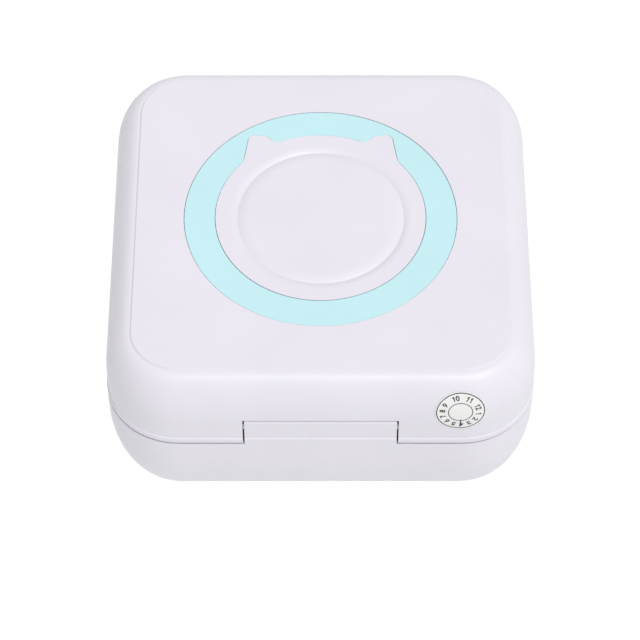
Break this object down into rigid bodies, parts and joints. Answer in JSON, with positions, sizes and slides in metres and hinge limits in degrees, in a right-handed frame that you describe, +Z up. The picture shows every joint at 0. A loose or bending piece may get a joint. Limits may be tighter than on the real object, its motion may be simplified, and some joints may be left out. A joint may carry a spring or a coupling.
{
  "type": "mini thermal printer",
  "caption": "Pocket thermal printer: rounded square case with a flush ring on top, a swing-down lid over the paper roll, and a geared rubber feed roller.",
  "frame": {"origin": "centre of the base, on the surface it stands on", "axes": "+Z up, +X to the right seen from the hinge side, -Y towards the lid hinge"},
  "size_m": [0.0865, 0.086, 0.038],
  "materials": {
    "case_plastic": "satin pale lavender-white",
    "ring_plastic": "satin pale aqua",
    "sticker_film": "printed film",
    "white_plastic": "moulded",
    "black_rubber": "ground",
    "bright_steel": "ground",
    "screw_steel": "zinc plated",
    "frame_steel": "pressed sheet",
    "paper": "smooth paper",
    "card": "card tube",
    "head_ceramic": "glazed",
    "sink_aluminium": "extruded",
    "ribbon_film": "polyimide film",
    "brass_metal": "machined",
    "board_green": "solder mask",
    "black_plastic": "moulded",
    "clear_plastic": "clear",
    "cell_wrap": "film wrap",
    "foam": "adhesive foam"
  },
  "bodies": {
    "case": {"top_shell": "case_plastic", "ring_inlay": "ring_plastic", "date_sticker": "sticker_film", "rear_cover": "case_plastic", "hinge_pin": "bright_steel", "paper_well": "white_plastic", "well_screws": "screw_steel", "paper_sensor": "black_plastic", "print_frame": "frame_steel", "frame_screws": "screw_steel", "head_springs": "bright_steel", "head_ribbon": "ribbon_film", "gear_axles": "bright_steel", "motor": "frame_steel", "motor_screws": "screw_steel", "control_board": "board_green", "board_screws": "screw_steel", "usb_port": "bright_steel", "status_light": "clear_plastic", "tact_switch": "black_plastic", "battery": "cell_wrap", "battery_pad": "foam"},
    "lid": {"lid": "case_plastic", "platen_bushes": "white_plastic"},
    "platen": {"platen_roller": "black_rubber", "platen_shaft": "bright_steel", "platen_gear": "white_plastic"},
    "head": {"print_head": "head_ceramic", "head_heatsink": "sink_aluminium"},
    "idler": {"idler_gear": "black_plastic"},
    "reduction": {"reduction_gear": "white_plastic"},
    "pinion": {"motor_pinion": "brass_metal", "motor_shaft": "bright_steel"},
    "roll": {"paper_roll": "paper", "paper_core": "card"},
    "button": {"power_button": "case_plastic"}
  },
  "joints": [
    {"name": "lid_hinge", "type": "hinge", "parent": "case", "child": "lid", "pos_m": [0, -0.041, 0.0239], "axis": [-1, 0, 0], "range_deg": [0, 98]},
    {"name": "platen_spin", "type": "hinge", "parent": "lid", "child": "platen", "pos_m": [0, 0.002, 0.007], "axis": [1, 0, 0], "continuous": true},
    {"name": "idler_spin", "type": "hinge", "parent": "case", "child": "idler", "pos_m": [0, 0.00566, 0.01631], "axis": [1, 0, 0], "continuous": true},
    {"name": "reduction_spin", "type": "hinge", "parent": "case", "child": "reduction", "pos_m": [0, 0.01394, 0.01982], "axis": [1, 0, 0], "continuous": true},
    {"name": "pinion_spin", "type": "hinge", "parent": "case", "child": "pinion", "pos_m": [0, 0.02153, 0.02554], "axis": [1, 0, 0], "continuous": true},
    {"name": "roll_spin", "type": "hinge", "parent": "case", "child": "roll", "pos_m": [0, -0.0175, 0.017], "axis": [1, 0, 0], "continuous": true},
    {"name": "button_press", "type": "slide", "parent": "case", "child": "button", "axis": [-1, 0, 0], "range_m": [0, 0.0005], "stiffness_N_per_m": 600, "springref_m": -0.0005},
    {"name": "head_press", "type": "slide", "parent": "case", "child": "head", "axis": [0, 1, 0], "range_m": [0, 0.0004], "stiffness_N_per_m": 1500, "springref_m": -0.001, "deforming": ["head_springs"]}
  ],
  "couplings": [
    {"joint": "idler_spin", "follows": "platen_spin", "ratio": -0.66667},
    {"joint": "reduction_spin", "follows": "platen_spin", "ratio": 1.3333},
    {"joint": "pinion_spin", "follows": "platen_spin", "ratio": -2.8889}
  ]
}
